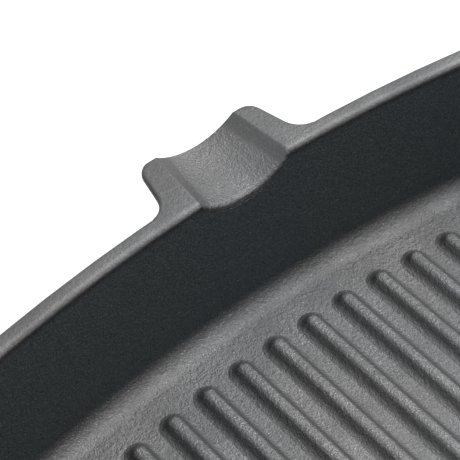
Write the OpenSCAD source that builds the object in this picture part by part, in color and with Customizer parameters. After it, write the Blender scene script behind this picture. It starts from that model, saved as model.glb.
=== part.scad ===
// Square cast-iron grill pan with bowed sides, two pouring lips, a ribbed
// cooking floor, and a wooden handle with a hanging ring.
// Millimetres. The base stands on z = 0 and the pan's centre is over the origin.
// The ribs and the two lips lie along X, and the handle leaves along -Y.

/* [Pan] */
// Width across the middle of the bowed sides, at the rim
pan_w = 261; // [240:1:300]
// Height from the table to the rim
pan_h = 48.5; // [44:0.5:58]
// Radius of each bowed side, seen from above
side_r = 478; // [440:1:560]
// Radius of the corners at the rim, seen from above
corner_r = 40; // [36:1:48]
// Width of the rim
rim_t = 4.9; // [4.2:0.1:6]
// Thickness of the cooking floor
floor_t = 4.8; // [4:0.1:6]
// Lean of the walls from upright, in degrees
wall_lean = 7.1; // [5:0.1:9]
// Radius where the inner wall runs into the floor
fillet_r = 6.5; // [4.5:0.5:8]
// Radius of the outer edge of the base
base_r = 9; // [6:0.5:12]
// Rounding of the rim's outer edge
rim_r = 0.9; // [0.5:0.1:1.3]
// Rounding of the rim's inner edge
rim_in_r = 2.1; // [1:0.1:2.4]

/* [Ribs] */
// Distance from rib to rib
rib_pitch = 12; // [11:0.5:15]
// Width of a rib at the floor
rib_w = 6.6; // [5.6:0.1:7.6]
// Width of a rib at its crown, before rounding
rib_crown_w = 2.8; // [2.4:0.1:3.4]
// Height of a rib above the floor
rib_h = 2.9; // [2.4:0.1:3.6]
// Rounding of a rib's crown
rib_crown_r = 1.7; // [0.8:0.1:1.8]
// Radius where a rib runs into the floor
rib_foot_r = 2.6; // [1:0.1:3]
// Distance from the rim's outer edge to the rib ends
rib_inset = 22.4; // [20:0.1:30]

/* [Pouring lips] */
// How far a lip stands out from the rim
lip_reach = 15.1; // [12:0.1:20]
// Half the width of a lip where it leaves the rim
lip_half_w = 21.8; // [20:0.1:25]
// Lean of a lip's sides towards its tip, in degrees
lip_flare = 13; // [6:1:18]
// Radius of a lip's two outer corners
lip_corner_r = 4.2; // [3:0.1:6]
// Radius where a lip's sides run into the rim
lip_neck_r = 6.5; // [4:0.5:8]
// Radius of the scooped trough
trough_r = 20.5; // [19:0.5:23]
// Depth of the trough at the inner wall
trough_in = 5.9; // [5:0.1:6.5]
// Depth of the trough at the tip
trough_out = 4.4; // [3.8:0.1:5]
// Rounding between the trough and the flat ears beside it
crease_r = 1.5; // [0.6:0.1:2]
// Rounding where the trough opens into the pan
mouth_r = 1.8; // [0.8:0.1:2.2]
// Rounding of the trough's edge at the tip
tip_r = 0.7; // [0.4:0.1:1.2]
// Metal left under the trough at the tip
lip_web = 3.6; // [3:0.1:5]
// Thickness of the ears' thin edge
lip_edge_t = 1.8; // [1.4:0.1:3]
// Radius of the lip's rounded underside
lip_under_r = 30; // [28:1:36]
// Fall of the underside from the tip to the wall, in degrees
lip_under_lean = 9; // [5:1:14]
// Radius of the rounded root under a lip
lip_root_r = 17; // [14:1:20]
// Depth of the root below the rim at the wall
lip_root_depth = 17; // [14:0.5:20]
// Fall of the root towards the wall, in degrees
lip_root_lean = 34; // [28:1:40]

/* [Helper lug] */
// How far the helper lug stands out from the rim
lug_reach = 30; // [26:1:36]
// Half the width of the lug where it leaves the wall
lug_half_w = 43; // [38:1:50]
// Lean of the lug's sides, in degrees
lug_flare = 20; // [10:1:26]
// Radius of the lug's outer corners
lug_corner_r = 15; // [11:1:18]
// Radius where the lug runs into the wall
lug_neck_r = 8; // [5:1:10]
// Thickness of the lug
lug_t = 9; // [7:0.5:11]
// How far the lug's top lies below the rim
lug_drop = 3; // [1:0.5:6]
// Width of the bar outside the finger gap
lug_bar_w = 10; // [8:0.5:12]
// Half the depth of the finger gap, and the radius of its ends
lug_gap_r = 6; // [5:0.5:7]
// Distance from the gap's middle to the centres of its round ends
lug_gap_half = 19; // [16:1:22]
// Rounding of the lug's edges
lug_edge_r = 2.6; // [1.5:0.1:3]

/* [Handle stub] */
// Height of the handle's axis where it leaves the rim line
stub_z = 31; // [28:0.5:34]
// Rise of the handle, in degrees
handle_rise = 12; // [6:1:16]
// Length of the cast stub
stub_len = 36; // [30:1:44]
// Half the stub's width at the wall
stub_root_w = 25; // [20:1:30]
// Half the stub's height at the wall
stub_root_h = 13; // [11:0.5:14]
// Radius of the stub's round end
stub_end_r = 12.5; // [11:0.5:14]
// Depth of the threaded hole in the stub
stub_hole = 20; // [14:1:24]

/* [Handle] */
// Diameter of the tie rod
rod_d = 6; // [5:0.5:7]
// Running gap round the rod in its holes
rod_gap = 0.15; // [0.1:0.05:0.3]
// Gap between pieces that fit into each other
seat_gap = 0.05; // [0.03:0.01:0.1]
// Thickness of the heat washer
washer_t = 1.6; // [1:0.1:2.5]
// Length of the steel ferrule
ferrule_len = 18; // [14:1:24]
// Thickness of the ferrule's metal
ferrule_t = 1.2; // [0.8:0.1:1.6]
// Length of the wooden grip beyond the ferrule
grip_len = 142; // [120:1:160]
// Radius of the grip at the ferrule
grip_neck_r = 12.4; // [11.8:0.1:13.4]
// Half the grip's width at its belly
grip_belly_w = 16.5; // [14:0.5:19]
// Half the grip's height at its belly
grip_belly_h = 13.6; // [12.5:0.1:16]
// Half the grip's width at its waist, before the butt
grip_waist_w = 13.6; // [12:0.1:15]
// Half the grip's height at its waist
grip_waist_h = 12.2; // [11.5:0.1:14]
// Radius of the grip's butt
grip_butt_r = 14.6; // [13:0.1:16]
// Rounding of the butt's edge
butt_edge_r = 4; // [2:0.5:5]

/* [End fittings] */
// Radius of the domed end cap
cap_r = 9.5; // [9:0.1:10.5]
// Height of the end cap
cap_h = 3; // [2.5:0.1:4]
// Thickness of the spring washer
spring_t = 1.6; // [1.2:0.1:2]
// Radius of the spring washer
spring_r = 5.6; // [5:0.1:6]
// Radius of the eye nut's shank
nut_r = 5.4; // [5:0.1:6]
// Length of the eye nut's shank
nut_len = 9; // [8:0.5:12]
// Radius of the eye, to the middle of its wire
eye_r = 7; // [6.5:0.1:8]
// Radius of the eye's wire
eye_wire_r = 2.2; // [2:0.1:2.5]
// Radius of the hanging ring, to the middle of its wire
ring_r = 15; // [14:0.5:20]
// Radius of the hanging ring's wire
ring_wire_r = 1.8; // [1.5:0.1:2]
// Play between the hanging ring and the eye
ring_play = 0.3; // [0.2:0.1:0.5]

/* [Hidden] */

// One overrun for every cut
over = 1;
// Grid that rib ends are set on, and how far a rib reaches into the floor
rib_grid = 0.1;
rib_sink = 1;
// How far a neck's curve runs into the rim, and the turn left out at its end
neck_bite = 0.1;
lip_neck_skip = 6;
lug_neck_skip = 25;
// Height of the end cap's thin edge
cap_edge_h = 1;
// Where the stub's flare ends, and where the grip's belly and waist lie
stub_flare_share = 0.8;
belly_share = 0.48;
waist_share = 0.82;

// Steps along each kind of arc
side_steps = 12;
corner_steps = 8;
edge_steps = 3;
fillet_steps = 6;
trough_steps = 15;
oval_steps = 36;
stub_steps = 6;
// Steps from the grip's neck to its belly, on to its waist, and on to its butt
belly_steps = 7;
waist_steps = 6;
butt_steps = 4;
$fn = 72;

iron = [0.27, 0.28, 0.29];
steel = [0.72, 0.72, 0.73];
wood = [0.55, 0.36, 0.22];
fibre = [0.16, 0.15, 0.14];

// Points along an arc about c, both ends included
function arc(c, r, from, to, steps) =
    [for (i = [0 : steps]) let (a = from + (to - from) * i / steps) c + r * [cos(a), sin(a)]];

function reversed(list) = [for (i = [len(list) - 1 : -1 : 0]) list[i]];

function at_height(points, z) = [for (p = points) [p.x, p.y, z]];

// A closed solid through rings that all have the same even number of points.
// The rings run anticlockwise seen from the end towards which they climb. Each
// end is closed by strips between a ring's first and second half.
module loft(rings) {
    n = len(rings[0]);
    last = len(rings) * n - 1;
    walls = [
        for (k = [0 : len(rings) - 2], i = [0 : n - 1])
            let (a = k * n + i, b = k * n + (i + 1) % n)
            each [[a, b + n, b], [a, a + n, b + n]]
    ];
    strips = [for (i = [0 : n / 2 - 2]) [i, i + 1, n - 2 - i, n - 1 - i]];
    ends = [for (strip = strips) each [strip, [for (i = strip) last - i]]];
    polyhedron(points = [for (ring = rings) each ring], faces = concat(walls, ends));
}

// The pan's outline, drawn in by d: four bowed sides about far centres, and
// four corners that run into them without a kink
side_c = side_r - pan_w / 2;
corner_c = (sqrt(2 * pow(side_r - corner_r, 2) - pow(side_c, 2)) - side_c) / 2;
side_turn = atan(corner_c / (corner_c + side_c));

function turned(p, quarter) =
    [p.x * cos(90 * quarter) - p.y * sin(90 * quarter), p.x * sin(90 * quarter) + p.y * cos(90 * quarter)];

function quarter_outline(d) = concat(
    arc([-side_c, 0], side_r - d, -side_turn, side_turn, side_steps),
    arc([corner_c, corner_c], corner_r - d, side_turn, 90 - side_turn, corner_steps)
);

function outline(d) =
    let (points = quarter_outline(d))
    [
        for (quarter = [0 : 3], i = [1 : side_steps + corner_steps + 1])
            if (i != side_steps + 1) turned(points[i], quarter)
    ];

// Half the length of the drawn-in outline along X at a given y
function half_length(y, d) =
    let (
        y_corner = corner_c + (corner_r - d) * sin(side_turn),
        y_end = corner_c + (corner_r - d) * cos(side_turn)
    )
    abs(y) <= y_corner ? sqrt(pow(side_r - d, 2) - pow(y, 2)) - side_c
    : abs(y) <= y_end ? corner_c + sqrt(pow(corner_r - d, 2) - pow(abs(y) - corner_c, 2))
    : sqrt(pow(side_r - d, 2) - pow(abs(y) + side_c, 2));

// How far the wall has leaned in at a depth below the rim
function lean_in(depth) = depth * tan(wall_lean);

// Profiles as [distance drawn in, height], from the base up
outer_profile = concat(
    arc([lean_in(pan_h - base_r) + base_r / cos(wall_lean), base_r], base_r, 270, 180 + wall_lean, fillet_steps),
    arc([lean_in(rim_r) + rim_r / cos(wall_lean), pan_h - rim_r], rim_r, 180 + wall_lean, 90, edge_steps)
);

cavity_lip_d = rim_t + lean_in(rim_in_r) - rim_in_r / cos(wall_lean);
cavity_profile = concat(
    reversed(arc(
        [rim_t + lean_in(pan_h - floor_t - fillet_r) + fillet_r / cos(wall_lean), floor_t + fillet_r],
        fillet_r, 180 + wall_lean, 270, fillet_steps
    )),
    reversed(arc([cavity_lip_d, pan_h - rim_in_r], rim_in_r, 90, wall_lean, edge_steps)),
    [[cavity_lip_d, pan_h + over]]
);

module bowl_outside() {
    loft([for (p = outer_profile) at_height(outline(p[0]), p[1])]);
}

module bowl_cavity() {
    loft([for (p = cavity_profile) at_height(outline(p[0]), p[1])]);
}

// Plan of a lip or lug that leaves the +X side, drawn in by e. Its sides lean
// together, its corners are round, and its neck runs into the bowed rim.
function ear_plan(half_w, reach, flare, r_corner, r_neck, seat_r, skip, e) =
    let (
        out = [cos(flare), -sin(flare)],
        away = [sin(flare), cos(flare)],
        start = [side_r, half_w],
        offset_start = start + r_neck * away,
        along = offset_start * out,
        reach_neck = sqrt(pow(along, 2) + pow(seat_r + r_neck, 2) - offset_start * offset_start) - along,
        neck = offset_start + reach_neck * out,
        corner_x = side_r + reach - r_corner,
        corner_y = half_w - (r_corner + (corner_x - side_r) * sin(flare)) / cos(flare),
        neck_from = atan2(neck.y, neck.x) + 180 + skip,
        neck_arc = arc(neck, r_neck + e, neck_from, 270 - flare, fillet_steps),
        half = concat(
            [[side_r - rim_t - over, neck_arc[0].y]],
            neck_arc,
            arc([corner_x, corner_y], r_corner - e, 90 - flare, 0, fillet_steps)
        )
    )
    [for (p = concat([for (q = half) [q.x, -q.y]], reversed(half))) [p.x - side_c, p.y]];

// Ring heights and draw-ins of a plate whose upper edge is rounded
function round_top(z, r) = [for (p = arc([0, z - r], r, 0, 90, edge_steps)) [r - p.x, p.y]];

// The same for its lower edge
function round_bottom(z, r) = [for (p = arc([0, z + r], r, -90, 0, edge_steps)) [r - p.x, p.y]];

function lip_plan(e) =
    ear_plan(lip_half_w, lip_reach, lip_flare, lip_corner_r, lip_neck_r, side_r - neck_bite, lip_neck_skip, e);

// A rod whose lowest line passes x, z and falls towards the wall
module sloping_rod(r, fall, x, z) {
    translate([x, 0, z])
        rotate([0, -90 - fall, 0])
            translate([r, 0, -r])
                cylinder(r = r, h = 2 * r + lip_reach + rim_t);
}

// Flat ears at rim height over a rounded belly that runs back to the wall
module lip() {
    tip_x = pan_w / 2 + lip_reach;
    wall_x = pan_w / 2 - lean_in(lip_root_depth);
    intersection() {
        loft(concat(
            [at_height(lip_plan(0), pan_h - lip_root_depth)],
            [for (p = round_top(pan_h, rim_r)) at_height(lip_plan(p[0]), p[1])]
        ));
        union() {
            translate([wall_x - rim_t, -pan_w / 2, pan_h - lip_edge_t])
                cube([lip_reach + pan_w / 2, pan_w, lip_edge_t + over]);
            sloping_rod(lip_under_r, lip_under_lean, tip_x, pan_h - trough_out - lip_web);
            sloping_rod(lip_root_r, lip_root_lean, wall_x, pan_h - lip_root_depth);
        }
    }
}

// Section of the trough at depth d, widened by flare: the scooped arc, and
// the round creases that carry it over into the flat ears
function trough_section(x, d, flare) =
    let (
        r = trough_r + flare,
        rise = trough_r - d,
        crease_z = rise + crease_r,
        crease_y = sqrt(pow(r + crease_r, 2) - pow(crease_z, 2)),
        low = atan(crease_z / crease_y),
        scoop = arc([0, pan_h + rise], r, 180 + low, 360 - low, trough_steps),
        right = arc([crease_y, pan_h - crease_r], crease_r, 180 - low, 90, edge_steps),
        left = arc([-crease_y, pan_h - crease_r], crease_r, 90, low, edge_steps)
    )
    [
        for (p = concat(
            [[-crease_y, pan_h + over]],
            left,
            [for (i = [1 : trough_steps - 1]) scoop[i]],
            right,
            [[crease_y, pan_h + over]]
        )) [x, p.x, p.y]
    ];

// The trough opens like a bell into the pan and at the tip
module trough() {
    in_x = pan_w / 2 - rim_t - lean_in(trough_in);
    tip_x = pan_w / 2 + lip_reach;
    stations = concat(
        [[in_x - over, mouth_r]],
        [
            for (i = [0 : edge_steps])
                let (a = 90 - 90 * i / edge_steps)
                [in_x + mouth_r * (1 - sin(a)), mouth_r * (1 - cos(a))]
        ],
        [
            for (i = [0 : edge_steps])
                let (a = 90 * i / edge_steps)
                [tip_x - tip_r * (1 - sin(a)), tip_r * (1 - cos(a))]
        ],
        [[tip_x + over, tip_r]]
    );
    slope = (trough_out - trough_in) / (tip_x - in_x);
    loft([for (s = stations) trough_section(s[0], trough_in + slope * (s[0] - in_x), s[1])]);
}

function lug_plan(e) =
    let (seat_r = side_r - lean_in(lug_drop + lug_t / 2) - neck_bite)
    ear_plan(lug_half_w, lug_reach, lug_flare, lug_corner_r, lug_neck_r, seat_r, lug_neck_skip, e);

// The finger gap: two half circles joined by straight sides
function gap_plan(e) =
    let (x = pan_w / 2 + lug_reach - lug_bar_w - lug_gap_r)
    concat(
        arc([x, lug_gap_half], lug_gap_r - e, 0, 180, corner_steps),
        arc([x, -lug_gap_half], lug_gap_r - e, 180, 360, corner_steps)
    );

module lug() {
    top = pan_h - lug_drop;
    edges = concat(round_bottom(top - lug_t, lug_edge_r), round_top(top, lug_edge_r));
    loft([for (p = edges) at_height(lug_plan(p[0]), p[1])]);
}

// The gap widens towards both faces, so that the bar round it is rounded too
module finger_gap() {
    top = pan_h - lug_drop;
    upper = [for (p = round_top(top, lug_edge_r)) [-p[0], p[1]]];
    lower = [for (p = round_bottom(top - lug_t, lug_edge_r)) [-p[0], p[1]]];
    edges = concat([[-lug_edge_r, top - lug_t - over]], lower, upper, [[-lug_edge_r, top + over]]);
    loft([for (p = edges) at_height(gap_plan(p[0]), p[1])]);
}

// Half section of a rib: crown, leaning side and a foot that runs into the floor
rib_lean = atan((rib_w - rib_crown_w) / 2 / rib_h);
rib_foot_x = rib_w / 2 + rib_foot_r * (1 - sin(rib_lean)) / cos(rib_lean);
rib_crown_x = rib_w / 2 - (rib_crown_r + (rib_h - rib_crown_r) * sin(rib_lean)) / cos(rib_lean);
rib_foot = arc([rib_foot_x, rib_foot_r], rib_foot_r, 260, 180 + rib_lean, edge_steps);
rib_half = concat(
    [[rib_foot[0].x, -rib_sink]],
    rib_foot,
    arc([rib_crown_x, rib_h - rib_crown_r], rib_crown_r, rib_lean, 90, edge_steps)
);

// A rib along X with round ends, of half length reach between its end centres
module rib(reach) {
    rotate([90, 0, 90])
        translate([0, 0, -reach])
            linear_extrude(height = 2 * reach)
                polygon(concat(rib_half, reversed([for (p = rib_half) [-p.x, p.y]])));
    for (side = [0, 180])
        rotate([0, 0, side])
            translate([reach, 0, 0])
                rotate([0, 0, -90])
                    rotate_extrude(angle = 180)
                        polygon(concat([[0, -rib_sink]], rib_half, [[0, rib_h]]));
}

// Ribs stand astride the middle line, as far as the drawn-in outline lets them
module ribs() {
    per_side = floor((pan_w / 2 - rib_inset) / rib_pitch + 1 / 2);
    for (i = [0 : per_side - 1], side = [-1, 1]) {
        y = side * (i + 1 / 2) * rib_pitch;
        reach = floor((half_length(y, rib_inset) - rib_w / 2) / rib_grid) * rib_grid;
        translate([0, y, floor_t]) rib(reach);
    }
}

// Moves what follows onto the handle's axis, at a distance from the rim line
module on_handle(at = 0) {
    translate([0, -pan_w / 2, stub_z]) rotate([90 - handle_rise, 0, 0]) translate([0, 0, at]) children();
}

function oval(w, h, z) = [for (i = [0 : oval_steps - 1]) let (a = 360 * i / oval_steps) [w * cos(a), h * sin(a), z]];

// The stub sweeps from a wide root in the wall to a round end
module stub() {
    root_z = -rim_t - lean_in(stub_z);
    on_handle()
        loft(concat(
            [oval(stub_root_w, stub_root_h, root_z)],
            [
                for (i = [0 : stub_steps])
                    let (left = pow(1 - i / stub_steps, 2))
                    oval(
                        stub_end_r + (stub_root_w - stub_end_r) * left,
                        stub_end_r + (stub_root_h - stub_end_r) * left,
                        stub_len * stub_flare_share * i / stub_steps
                    )
            ],
            [oval(stub_end_r, stub_end_r, stub_len - rim_r), oval(stub_end_r - rim_r, stub_end_r - rim_r, stub_len)]
        ));
}

module pan_casting() {
    color(iron) {
        difference() {
            union() {
                bowl_outside();
                for (side = [0, 180]) rotate([0, 0, side]) lip();
                rotate([0, 0, 90]) lug();
                stub();
            }
            bowl_cavity();
            for (side = [0, 180]) rotate([0, 0, side]) trough();
            rotate([0, 0, 90]) finger_gap();
            on_handle(stub_len - stub_hole) cylinder(r = rod_d / 2 + seat_gap, h = stub_hole + over);
        }
        ribs();
    }
}

// Places along the handle, from the stub's end outwards
ferrule_at = stub_len + washer_t;
grip_at = ferrule_at + ferrule_len;
cap_at = grip_at + grip_len;
spring_at = cap_at + cap_h;
nut_at = spring_at + spring_t;
eye_at = nut_at + nut_len + eye_r;
rod_start = stub_len - stub_hole + seat_gap;
rod_end = nut_at + nut_len - eye_wire_r;
hole_r = rod_d / 2 + rod_gap;

module heat_washer() {
    color(fibre)
        on_handle(stub_len)
            difference() {
                cylinder(r = stub_end_r - rim_r, h = washer_t);
                translate([0, 0, -over]) cylinder(r = hole_r, h = washer_t + 2 * over);
            }
}

// A cup pressed over the neck of the grip, flush with the wood
module ferrule() {
    color(steel)
        on_handle(ferrule_at)
            difference() {
                rotate_extrude()
                    polygon(concat(
                        [[0, 0]],
                        arc([grip_neck_r - ferrule_t, ferrule_t], ferrule_t, -90, 0, edge_steps),
                        [[grip_neck_r, ferrule_len], [0, ferrule_len]]
                    ));
                translate([0, 0, ferrule_t]) cylinder(r = grip_neck_r - ferrule_t, h = ferrule_len);
                translate([0, 0, -over]) cylinder(r = hole_r, h = ferrule_t + 2 * over);
            }
}

// Stations along the grip as [distance, half width, half height]
grip_stations = [
    [0, grip_neck_r, grip_neck_r],
    [grip_len * belly_share, grip_belly_w, grip_belly_h],
    [grip_len * waist_share, grip_waist_w, grip_waist_h],
    [grip_len - butt_edge_r, grip_butt_r, grip_butt_r]
];

// Rings that ease from one station to the next, ends flat
function eased(from, to, steps) = [
    for (i = [1 : steps])
        let (s = i / steps, at = from + (to - from) * s, size = from + (to - from) * (1 - cos(180 * s)) / 2)
        oval(size[1], size[2], at[0])
];

module handle_grip() {
    tenon_at = ferrule_at + ferrule_t + seat_gap;
    color(wood)
        difference() {
            union() {
                on_handle(tenon_at) cylinder(r = grip_neck_r - ferrule_t - seat_gap, h = grip_at - tenon_at + over);
                on_handle(grip_at + seat_gap)
                    loft(concat(
                        [oval(grip_neck_r, grip_neck_r, 0)],
                        eased(grip_stations[0], grip_stations[1], belly_steps),
                        eased(grip_stations[1], grip_stations[2], waist_steps),
                        eased(grip_stations[2], grip_stations[3], butt_steps),
                        [
                            for (p = arc([0, grip_len - butt_edge_r - seat_gap], butt_edge_r, 0, 90, edge_steps))
                                if (p.x < butt_edge_r)
                                    let (r = grip_butt_r - butt_edge_r + p.x)
                                    oval(r, r, p.y)
                        ]
                    ));
            }
            on_handle(ferrule_at) cylinder(r = hole_r, h = cap_at - ferrule_at + over);
        }
}

module tie_rod() {
    color(steel) on_handle(rod_start) cylinder(d = rod_d, h = rod_end - rod_start);
}

module end_cap() {
    dome_r = (pow(cap_r, 2) + pow(cap_h, 2)) / (2 * cap_h);
    color(steel)
        on_handle(cap_at)
            difference() {
                intersection() {
                    cylinder(r = cap_r, h = cap_h);
                    translate([0, 0, cap_h + cap_edge_h - dome_r]) sphere(r = dome_r);
                }
                translate([0, 0, -over]) cylinder(r = hole_r, h = cap_h + 2 * over);
            }
}

// A split washer, cut through on one side
module spring_washer() {
    color(steel)
        on_handle(spring_at)
            difference() {
                cylinder(r = spring_r, h = spring_t);
                translate([0, 0, -over]) cylinder(r = hole_r, h = spring_t + 2 * over);
                translate([0, -spring_t / 2, -over]) cube([spring_r + over, spring_t, spring_t + 2 * over]);
            }
}

module eye_nut() {
    color(steel)
        difference() {
            union() {
                on_handle(nut_at) cylinder(r = nut_r, h = nut_len);
                on_handle(eye_at)
                    rotate([0, 90, 0]) rotate_extrude() translate([eye_r, 0]) circle(r = eye_wire_r);
            }
            on_handle(nut_at - over) cylinder(r = rod_d / 2 + seat_gap, h = rod_end - nut_at + over + seat_gap);
        }
}

// The ring hangs in the eye, its wire just clear of the eye's lower side
module hanging_ring() {
    drop = eye_r - eye_wire_r - ring_play - ring_wire_r + ring_r;
    color(steel)
        on_handle(eye_at)
            rotate([handle_rise - 90, 0, 0])
                translate([0, 0, -drop])
                    rotate([90, 0, 0]) rotate_extrude() translate([ring_r, 0]) circle(r = ring_wire_r);
}

pan_casting();
heat_washer();
ferrule();
handle_grip();
tie_rod();
end_cap();
spring_washer();
eye_nut();
hanging_ring();
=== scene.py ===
"""Looks of the square grill pan: sand-cast iron, an oiled wooden grip and bright steel fittings.

Metres, +Z up. The pan stands on the floor at z = 0, the seen lip points to -X and the handle to -Y.
"""

import bpy
from mathutils import Matrix, Vector


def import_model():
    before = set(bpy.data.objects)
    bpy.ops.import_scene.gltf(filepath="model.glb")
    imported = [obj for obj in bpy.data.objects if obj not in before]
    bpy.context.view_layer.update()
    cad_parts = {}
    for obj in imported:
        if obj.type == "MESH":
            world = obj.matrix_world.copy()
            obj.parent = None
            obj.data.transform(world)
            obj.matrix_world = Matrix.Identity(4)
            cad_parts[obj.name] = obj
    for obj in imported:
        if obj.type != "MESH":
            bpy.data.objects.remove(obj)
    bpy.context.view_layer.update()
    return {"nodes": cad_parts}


MM = 0.001

# Driving dimensions of the part, as in its source
PAN_W = 261 * MM
PAN_H = 48.5 * MM
RIM_T = 4.9 * MM
FLOOR_T = 4.8 * MM
RIB_H = 2.9 * MM
HANDLE_RISE = 0.20944

# Places worked out from them: the inner wall's top edge, half the pan and the ribs' crowns
WALL_X = PAN_W / 2 - RIM_T
HALF_PAN = PAN_W / 2
CROWN_TOP = FLOOR_T + RIB_H

# Places along the handle's own length: where the ferrule ends on the grip, and the grip's butt
FERRULE_EDGE = -189.7 * MM
BUTT_EDGE = -331.7 * MM

# Camera, at the photograph's place
CAMERA_AT = Vector((79.67, -178.16, 336.07)) * MM
CAMERA_AIM = Vector((-0.506331, 0.427215, -0.749077))
CAMERA_LENS_MM = 125.04
SENSOR_MM = 36.0

# Floor and light
FLOOR_SIZE = 6.0
FLOOR_COLOUR = (0.82, 0.82, 0.82)
FLOOR_ROUGHNESS = 0.9
FLOOR_GLOW = 0.34
BACKGROUND = 1.0
SKY = 0.30
SOFTBOX_AT = Vector((-0.10, 0.75, 1.20))
SOFTBOX_AIM = Vector((-0.1, 0.0, 0.03))
SOFTBOX_SIZE = 0.8
SOFTBOX_POWER = 20.0

# Smoothing: faces that meet are joined, and an edge above this angle (radians) stays sharp
SEAM_WELD = 0.001 * MM
SHARP_ANGLE = 0.55

# Thin strips below the troughs' mouths, which are drawn together
MOUTH_X = (WALL_X - 1.4 * MM, WALL_X - 0.3 * MM)
MOUTH_Z = (PAN_H - 9.0 * MM, PAN_H - 5.3 * MM)
MOUTH_WELD = 0.3 * MM

# Cast iron: colours, painted shade that darkens sloping and upright faces, a painted cool reflection tint
# on upright faces, and a faint blue temper in patches.
# A level of 1 is a level face and 0 an upright one.
IRON = (0.149, 0.149, 0.148)
IRON_DARK = (0.132, 0.132, 0.132)
# Painted shade for sloping and upright faces, and a painted cool reflection tint for upright faces
IRON_SIDES_PAINTED_SHADE = (0.66, 0.66, 0.66)
IRON_WALLS_PAINTED_TINT = (0.88, 0.99, 1.04)
IRON_TEMPER = (0.972, 0.995, 1.02)
SIDE_LEVEL = (0.8, 0.2)
WALL_LEVEL = (0.4, 0.2)
TEMPER_SIZE = 45 * MM
TEMPER_SPAN = (0.45, 0.65)

# Cast iron: gloss, and the mottle that varies it
IRON_METAL = 0.95
IRON_ROUGHNESS = (0.60, 0.52)
IRON_ROUGHNESS_SPAN = (0.25, 0.75)
MOTTLE_SIZE = 14 * MM
MOTTLE_SPAN = (0.3, 0.7)

# Cast iron: fine grain and coarser sand, as relief and (for the grain) as shade on level and upright faces
GRAIN_SIZE = 0.42 * MM
GRAIN_DEPTH = 0.22 * MM
GRAIN_SHADE = (0.56, 2.30)
GRAIN_MEAN = 0.5
SAND_SIZE = 1.1 * MM
SAND_DEPTH = 0.20 * MM

# Cast iron: bright specks, given to a share of small cells, and rust dots
SPECK_SIZE = 0.40 * MM
SPECK_SHARE = 0.06
SPECK_EDGE = (0.45, 0.25)
SPECK_GAIN = 1.9
RUST = (0.09, 0.050, 0.040)
RUST_CELL = 6 * MM
RUST_SPOT = 0.05

# Wear and painted shade: the fettled rim, smoother and with fewer specks, under painted shade that dims its
# highlight; painted shade at the lips' inner edge and on the step below it; the worn rib crowns
RIM_Z = (PAN_H - 3.0 * MM, PAN_H - 1.7 * MM)
# Painted shade on the rim and its inner rounding, which dims the lamp's highlight there
RIM_PAINTED_SHADE = 0.80
RIM_RELIEF = 0.5
RIM_SPECKS = 0.2
EDGE_LEVEL = (0.75, 0.45)
EDGE_WALL_LEVEL = (0.12, 0.3)
EDGE_Z = (PAN_H - 11.5 * MM, PAN_H - 9.5 * MM)
EDGE_Y = (HALF_PAN - 10.5 * MM, HALF_PAN - 15.5 * MM)
# Painted shade at the lips' inner edge and on the thin step below the troughs' mouths
EDGE_PAINTED_SHADE = 0.55
STEP_X = (WALL_X - 0.1 * MM, WALL_X - 0.4 * MM)
STEP_Z = (PAN_H - 3.5 * MM, PAN_H - 4.5 * MM)
CROWN_Z = (CROWN_TOP - 1.1 * MM, CROWN_TOP - 0.3 * MM)
ABOVE_CROWN_Z = (CROWN_TOP + 0.7 * MM, CROWN_TOP + 1.7 * MM)
CROWN_SPECK_SHARE = 0.34

# Wood: streaks and pores along the grip, scorched near the ferrule and rubbed pale at the butt
WOOD_LIGHT = (0.36, 0.185, 0.080)
WOOD_DARK = (0.17, 0.075, 0.032)
WOOD_STREAK = 5 * MM
WOOD_STREAK_SPAN = (0.35, 0.65)
WOOD_STRETCH = 14.0
WOOD_PORE = WOOD_STREAK / 9
WOOD_PORE_SPAN = (0.36, 0.30)
WOOD_PORE_DEPTH = 0.05 * MM
WOOD_ROUGHNESS = (0.55, 0.38)
WOOD_PATCH = 7 * MM
WOOD_PATCH_SPAN = (0.3, 0.6)
SCORCH_REACH = (FERRULE_EDGE - 32.3 * MM, FERRULE_EDGE - 0.3 * MM)
SCORCH_SHADE = 0.55
RUBBED_REACH = (BUTT_EDGE + 6.2 * MM, BUTT_EDGE + 1.7 * MM)
RUBBED_GAIN = 1.5

# Steel: scratches round the handle's length, and smudges
STEEL = (0.54, 0.53, 0.51)
STEEL_DULL = tuple(0.82 * part for part in STEEL)
STEEL_ROUGHNESS = (0.24, 0.36)
SCRATCH_WIDTH = 0.5 * MM
SCRATCH_LENGTH = 4 * MM
SCRATCH_DEPTH = 0.006 * MM
SMUDGE_SIZE = 12 * MM
SMUDGE_SPAN = (0.35, 0.65)

# Fibre
FIBRE = (0.030, 0.028, 0.026)
FIBRE_PALE = tuple(3 * part for part in FIBRE)
FIBRE_ROUGHNESS = (0.85, 0.7)
FLECK_SIZE = 0.7 * MM
FLECK_SPAN = (0.4, 0.7)
FLECK_DEPTH = 0.03 * MM

# The stretch of a noise over which gloss varies
GLOSS_SPAN = (0.3, 0.7)

# Colour sockets of Blender's mix node
MIX_A, MIX_B, MIX_RESULT = 6, 7, 2


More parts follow.
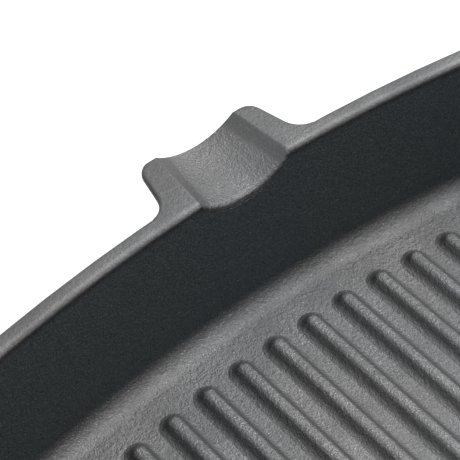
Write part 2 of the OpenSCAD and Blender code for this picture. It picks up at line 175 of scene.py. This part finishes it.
class Shader:
    """A material's nodes, with short names for the few kinds used here."""

    def __init__(self, name):
        self.material = bpy.data.materials.new(name)
        self.material.use_nodes = True
        self.tree = self.material.node_tree
        self.tree.nodes.clear()
        self.bsdf = self.add("ShaderNodeBsdfPrincipled")
        self.output = self.add("ShaderNodeOutputMaterial")
        self.link(self.bsdf.outputs["BSDF"], self.output.inputs["Surface"])
        self.place = self.add("ShaderNodeTexCoord").outputs["Object"]

    def add(self, kind, **settings):
        node = self.tree.nodes.new(kind)
        for key, value in settings.items():
            setattr(node, key, value)
        return node

    def link(self, output, socket):
        self.tree.links.new(output, socket)

    def clear_from_behind(self):
        """Lets the surface be looked through from its back, as the floor is from below."""
        mixed = self.add("ShaderNodeMixShader")
        self.link(self.add("ShaderNodeNewGeometry").outputs["Backfacing"], mixed.inputs["Fac"])
        self.link(self.bsdf.outputs["BSDF"], mixed.inputs[1])
        self.link(self.add("ShaderNodeBsdfTransparent").outputs["BSDF"], mixed.inputs[2])
        self.link(mixed.outputs["Shader"], self.output.inputs["Surface"])

    def along_handle(self, stretch=1.0):
        """Place in the handle's own directions, drawn out along its length (Y)."""
        node = self.add("ShaderNodeMapping", vector_type="TEXTURE")
        self.link(self.place, node.inputs["Vector"])
        node.inputs["Rotation"].default_value = (-HANDLE_RISE, 0, 0)
        node.inputs["Scale"].default_value = (1, stretch, 1)
        return node.outputs["Vector"]

    def noise(self, size, detail=2.0, roughness=0.5, place=None):
        node = self.add("ShaderNodeTexNoise")
        self.link(place or self.place, node.inputs["Vector"])
        node.inputs["Scale"].default_value = 1 / size
        node.inputs["Detail"].default_value = detail
        node.inputs["Roughness"].default_value = roughness
        return node.outputs["Fac"]

    def cells(self, size):
        """A node with each place's distance from its cell's centre, and a random colour for the cell."""
        node = self.add("ShaderNodeTexVoronoi")
        self.link(self.place, node.inputs["Vector"])
        node.inputs["Scale"].default_value = 1 / size
        return node

    def spread(self, value, low, high, to_low=0.0, to_high=1.0):
        """value's stretch from low to high, carried over to to_low..to_high."""
        node = self.add("ShaderNodeMapRange", interpolation_type="SMOOTHSTEP")
        self.link(value, node.inputs["Value"])
        for key, number in (("From Min", low), ("From Max", high), ("To Min", to_low), ("To Max", to_high)):
            node.inputs[key].default_value = number
        return node.outputs["Result"]

    def between(self, factor, at_none, at_full):
        """The number at_none where factor is 0, and at_full where it is 1."""
        return self.spread(factor, 0, 1, at_none, at_full)

    def math(self, operation, a, b):
        node = self.add("ShaderNodeMath", operation=operation)
        for socket, value in zip(node.inputs, (a, b)):
            if isinstance(value, (int, float)):
                socket.default_value = value
            else:
                self.link(value, socket)
        return node.outputs[0]

    def times(self, first, *others):
        """The product of values."""
        for other in others:
            first = self.math("MULTIPLY", first, other)
        return first

    def mix(self, factor, a, b):
        """Colour a where factor is 0, and b where it is 1."""
        node = self.add("ShaderNodeMix", data_type="RGBA")
        self.link(factor, node.inputs[0])
        for socket, value in ((node.inputs[MIX_A], a), (node.inputs[MIX_B], b)):
            if isinstance(value, tuple):
                socket.default_value = (*value, 1)
            else:
                self.link(value, socket)
        return node.outputs[MIX_RESULT]

    def tinted(self, factor, colour, tint):
        """The colour, times the tint where factor is 1."""
        node = self.add("ShaderNodeMix", data_type="RGBA", blend_type="MULTIPLY")
        self.link(factor, node.inputs[0])
        self.link(colour, node.inputs[MIX_A])
        node.inputs[MIX_B].default_value = (*tint, 1)
        return node.outputs[MIX_RESULT]

    def scaled(self, colour, amount):
        """The colour, made darker or brighter by an amount."""
        node = self.add("ShaderNodeVectorMath", operation="SCALE")
        self.link(colour, node.inputs[0])
        self.link(amount, node.inputs["Scale"])
        return node.outputs[0]

    def channel(self, vector, name):
        split = self.add("ShaderNodeSeparateXYZ")
        self.link(vector, split.inputs[0])
        return split.outputs[name]

    def size_of(self, vector, name):
        """A channel without its sign."""
        return self.math("ABSOLUTE", self.channel(vector, name), 0)

    def facing_up(self):
        """How far the true surface faces up or down: 1 on a level face, 0 on an upright one."""
        return self.size_of(self.add("ShaderNodeNewGeometry").outputs["Normal"], "Z")

    def bump(self, height, depth, normal=None, strength=None):
        """A normal with relief of the given depth, on top of an earlier normal if there is one."""
        node = self.add("ShaderNodeBump")
        node.inputs["Distance"].default_value = depth
        node.inputs["Strength"].default_value = 1
        if strength:
            self.link(strength, node.inputs["Strength"])
        self.link(height, node.inputs["Height"])
        if normal:
            self.link(normal, node.inputs["Normal"])
        return node.outputs["Normal"]

    def finish(self, colour, roughness, normal, metallic=0.0):
        self.link(colour, self.bsdf.inputs["Base Color"])
        self.link(roughness, self.bsdf.inputs["Roughness"])
        self.link(normal, self.bsdf.inputs["Normal"])
        self.bsdf.inputs["Metallic"].default_value = metallic
        return self.material


def iron_colour(s, mottle, level):
    """Mottled grey with a faint temper and rust dots, with painted shade on slopes and walls and a painted
    cool reflection tint on walls.
    """
    colour = s.mix(s.spread(mottle, *MOTTLE_SPAN), IRON_DARK, IRON)
    temper = s.spread(s.noise(TEMPER_SIZE, detail=1), *TEMPER_SPAN)
    colour = s.tinted(temper, colour, IRON_TEMPER)
    dots = s.cells(RUST_CELL)
    dot = s.spread(dots.outputs["Distance"], RUST_SPOT, RUST_SPOT / 2)
    colour = s.mix(dot, colour, RUST)
    # Painted shade: slopes and upright faces are made darker by their facing, and upright faces get a
    # painted cool reflection tint
    colour = s.tinted(s.spread(level, *SIDE_LEVEL), colour, IRON_SIDES_PAINTED_SHADE)
    return s.tinted(s.spread(level, *WALL_LEVEL), colour, IRON_WALLS_PAINTED_TINT)


def lip_painted_shade(s, height, level):
    """How much painted shade lies at the lips' inner edge and on the thin step below it, from 0 to 1."""
    side, along = s.size_of(s.place, "X"), s.size_of(s.place, "Y")
    step = s.times(s.spread(side, *STEP_X), s.spread(height, *STEP_Z))
    slope = s.math("MAXIMUM", s.spread(level, *EDGE_LEVEL), step)
    off_wall = s.spread(level, *EDGE_WALL_LEVEL)
    return s.times(slope, off_wall, s.spread(height, *EDGE_Z), s.spread(along, *EDGE_Y))


def iron_specks(s, height, rim):
    """Where bright specks lie: many on the worn rib crowns, few on the rim."""
    cells = s.cells(SPECK_SIZE)
    worn = s.math("SUBTRACT", s.spread(height, *CROWN_Z), s.spread(height, *ABOVE_CROWN_Z))
    share = s.times(s.between(worn, SPECK_SHARE, CROWN_SPECK_SHARE), s.between(rim, 1, RIM_SPECKS))
    chosen = s.math("LESS_THAN", s.channel(cells.outputs["Color"], "X"), share)
    return s.times(s.spread(cells.outputs["Distance"], *SPECK_EDGE), chosen)


def cast_iron():
    """Sand-cast iron: grainy, with bright specks, a few rust dots, a fettled rim under painted shade,
    painted shade at the lips' inner edge and on slopes and walls, and worn rib crowns.
    """
    s = Shader("cast_iron")
    mottle = s.noise(MOTTLE_SIZE, detail=4)
    grain = s.noise(GRAIN_SIZE, detail=2, roughness=0.6)
    sand = s.noise(SAND_SIZE, detail=1)
    height = s.channel(s.place, "Z")
    level = s.facing_up()
    rim = s.spread(height, *RIM_Z)

    colour = iron_colour(s, mottle, level)
    # Painted shade at the lips' inner edge and on the thin step below the troughs' mouths
    colour = s.scaled(colour, s.between(lip_painted_shade(s, height, level), 1, EDGE_PAINTED_SHADE))
    contrast = s.spread(level, *SIDE_LEVEL, *GRAIN_SHADE)
    shade = s.times(s.math("SUBTRACT", grain, GRAIN_MEAN), contrast)
    # Painted shade on the rim and its inner rounding, added to the grain's tone
    colour = s.scaled(colour, s.math("ADD", shade, s.between(rim, 1, RIM_PAINTED_SHADE)))
    colour = s.scaled(colour, s.between(iron_specks(s, height, rim), 1, SPECK_GAIN))

    roughness = s.spread(mottle, *IRON_ROUGHNESS_SPAN, *IRON_ROUGHNESS)
    strength = s.between(rim, 1, RIM_RELIEF)
    normal = s.bump(sand, SAND_DEPTH, strength=strength)
    normal = s.bump(grain, GRAIN_DEPTH, normal, strength)
    return s.finish(colour, roughness, normal, metallic=IRON_METAL)


def oiled_wood():
    """Dark streaked wood with fine pores, scorched at the hot end and rubbed at the other."""
    s = Shader("oiled_wood")
    drawn_out = s.along_handle(WOOD_STRETCH)
    streaks = s.noise(WOOD_STREAK, detail=3, place=drawn_out)
    pores = s.noise(WOOD_PORE, detail=1, place=drawn_out)
    colour = s.mix(s.spread(streaks, *WOOD_STREAK_SPAN), WOOD_DARK, WOOD_LIGHT)
    colour = s.mix(s.spread(pores, *WOOD_PORE_SPAN), colour, WOOD_DARK)
    reach = s.channel(s.along_handle(), "Y")
    patchy = s.spread(s.noise(WOOD_PATCH), *WOOD_PATCH_SPAN)
    scorched = s.times(s.spread(reach, *SCORCH_REACH), patchy)
    colour = s.scaled(colour, s.between(scorched, 1, SCORCH_SHADE))
    rubbed = s.times(s.spread(reach, *RUBBED_REACH), patchy)
    colour = s.scaled(colour, s.between(rubbed, 1, RUBBED_GAIN))
    roughness = s.spread(pores, *GLOSS_SPAN, *WOOD_ROUGHNESS)
    return s.finish(colour, roughness, s.bump(pores, WOOD_PORE_DEPTH))


def bright_steel():
    """Turned steel with fine scratches across the handle's length, and smudges."""
    s = Shader("bright_steel")
    across = s.along_handle(SCRATCH_WIDTH / SCRATCH_LENGTH)
    scratches = s.noise(SCRATCH_LENGTH, detail=3, place=across)
    smudge = s.noise(SMUDGE_SIZE)
    colour = s.mix(s.spread(smudge, *SMUDGE_SPAN), STEEL_DULL, STEEL)
    roughness = s.spread(scratches, *GLOSS_SPAN, *STEEL_ROUGHNESS)
    return s.finish(colour, roughness, s.bump(scratches, SCRATCH_DEPTH), metallic=1.0)


def pressed_fibre():
    """Black fibre board with paler flecks."""
    s = Shader("pressed_fibre")
    flecks = s.noise(FLECK_SIZE, detail=2)
    colour = s.mix(s.spread(flecks, *FLECK_SPAN), FIBRE, FIBRE_PALE)
    roughness = s.spread(flecks, *GLOSS_SPAN, *FIBRE_ROUGHNESS)
    return s.finish(colour, roughness, s.bump(flecks, FLECK_DEPTH))


def in_mouth(tree):
    """Whether a place lies round the mouth of either trough."""
    new, link = tree.nodes.new, tree.links.new
    place, side = new("ShaderNodeSeparateXYZ"), new("ShaderNodeMath")
    side.operation = "ABSOLUTE"
    link(new("GeometryNodeInputPosition").outputs[0], place.inputs[0])
    link(place.outputs["X"], side.inputs[0])
    both = new("FunctionNodeBooleanMath")
    for i, (value, (low, high)) in enumerate(((side.outputs[0], MOUTH_X), (place.outputs["Z"], MOUTH_Z))):
        near = new("ShaderNodeMath")
        near.operation = "COMPARE"
        link(value, near.inputs[0])
        near.inputs[1].default_value = (low + high) / 2
        near.inputs[2].default_value = (high - low) / 2
        link(near.outputs[0], both.inputs[i])
    return both.outputs[0]


def smooth_group():
    """Geometry nodes that join a solid's faces and shade them smooth, apart from its sharp edges."""
    tree = bpy.data.node_groups.new("smooth_by_angle", "GeometryNodeTree")
    tree.interface.new_socket("Geometry", in_out="INPUT", socket_type="NodeSocketGeometry")
    tree.interface.new_socket("Geometry", in_out="OUTPUT", socket_type="NodeSocketGeometry")
    new, link = tree.nodes.new, tree.links.new
    source, result = new("NodeGroupInput"), new("NodeGroupOutput")
    weld = new("GeometryNodeMergeByDistance")
    weld.inputs["Distance"].default_value = SEAM_WELD
    mouth_weld = new("GeometryNodeMergeByDistance")
    mouth_weld.inputs["Distance"].default_value = MOUTH_WELD
    angle = new("GeometryNodeInputMeshEdgeAngle")
    sharp = new("FunctionNodeCompare")
    sharp.data_type, sharp.operation = "FLOAT", "GREATER_THAN"
    sharp.inputs[1].default_value = SHARP_ANGLE
    normals = new("GeometryNodeSetMeshNormal")
    normals.mode = "SHARPNESS"
    normals.inputs["Remove Custom"].default_value = True
    link(source.outputs[0], weld.inputs["Geometry"])
    link(weld.outputs[0], mouth_weld.inputs["Geometry"])
    link(in_mouth(tree), mouth_weld.inputs["Selection"])
    link(mouth_weld.outputs[0], normals.inputs["Mesh"])
    link(angle.outputs["Unsigned Angle"], sharp.inputs[0])
    link(sharp.outputs["Result"], normals.inputs["Edge Sharpness"])
    link(normals.outputs[0], result.inputs[0])
    return tree


def dress(node, material, smoothing):
    """Gives a CAD object its material and smooth shading."""
    node.data.materials.clear()
    node.data.materials.append(material)
    modifier = node.modifiers.new("smooth", "NODES")
    modifier.node_group = smoothing
    weighted = node.modifiers.new("weighted", "WEIGHTED_NORMAL")
    weighted.keep_sharp = True


def seen_directly(tree):
    """1 for rays from the camera, off gloss or through glass, else 0."""
    path = tree.nodes.new("ShaderNodeLightPath")
    total = path.outputs["Is Camera Ray"]
    for name in ("Is Glossy Ray", "Is Transmission Ray"):
        both = tree.nodes.new("ShaderNodeMath")
        both.operation = "MAXIMUM"
        tree.links.new(total, both.inputs[0])
        tree.links.new(path.outputs[name], both.inputs[1])
        total = both.outputs[0]
    return total


def world():
    """A white background that lights the scene at a lower level than it shows."""
    made = bpy.data.worlds.new("studio")
    made.use_nodes = True
    tree = made.node_tree
    sky = tree.nodes["Background"]
    sky.inputs["Color"].default_value = (1, 1, 1, 1)
    level = tree.nodes.new("ShaderNodeMapRange")
    tree.links.new(seen_directly(tree), level.inputs["Value"])
    level.inputs["To Min"].default_value = SKY
    level.inputs["To Max"].default_value = BACKGROUND
    tree.links.new(level.outputs["Result"], sky.inputs["Strength"])
    bpy.context.scene.world = made


def floor():
    """A plain pale floor, which keeps the pan's shadow."""
    mesh = bpy.data.meshes.new("floor")
    half = FLOOR_SIZE / 2
    corners = [(-half, -half, 0), (half, -half, 0), (half, half, 0), (-half, half, 0)]
    mesh.from_pydata(corners, [], [(0, 1, 2, 3)])
    made = bpy.data.objects.new("floor", mesh)
    bpy.context.scene.collection.objects.link(made)
    s = Shader("pale_floor")
    s.bsdf.inputs["Base Color"].default_value = (*FLOOR_COLOUR, 1)
    s.bsdf.inputs["Roughness"].default_value = FLOOR_ROUGHNESS
    s.bsdf.inputs["Specular IOR Level"].default_value = 0
    s.bsdf.inputs["Emission Color"].default_value = (1, 1, 1, 1)
    s.link(s.times(seen_directly(s.tree), FLOOR_GLOW), s.bsdf.inputs["Emission Strength"])
    s.clear_from_behind()
    mesh.materials.append(s.material)


def softbox(name, at, aim, size, power):
    """A square lamp that looks at aim."""
    lamp = bpy.data.lights.new(name, "AREA")
    lamp.size = size
    lamp.energy = power
    made = bpy.data.objects.new(name, lamp)
    made.location = at
    made.rotation_euler = (aim - at).to_track_quat("-Z", "Y").to_euler()
    bpy.context.scene.collection.objects.link(made)


def camera():
    """The photograph's view, with the horizon level."""
    lens = bpy.data.cameras.new("camera")
    lens.lens = CAMERA_LENS_MM
    lens.sensor_width = SENSOR_MM
    made = bpy.data.objects.new("camera", lens)
    right = CAMERA_AIM.cross(Vector((0, 0, 1))).normalized()
    up = right.cross(CAMERA_AIM).normalized()
    turn = Matrix((right, up, -CAMERA_AIM)).transposed()
    made.matrix_world = Matrix.Translation(CAMERA_AT) @ turn.to_4x4()
    bpy.context.scene.collection.objects.link(made)
    bpy.context.scene.camera = made


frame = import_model()
bpy.context.scene.view_settings.view_transform = "Standard"

iron, wood, steel, fibre = cast_iron(), oiled_wood(), bright_steel(), pressed_fibre()
materials = {"pan_casting": iron, "handle_grip": wood, "heat_washer": fibre}
smoothing = smooth_group()
for name, node in frame["nodes"].items():
    dress(node, materials.get(name, steel), smoothing)

world()
floor()
softbox("key", SOFTBOX_AT, SOFTBOX_AIM, SOFTBOX_SIZE, SOFTBOX_POWER)
camera()
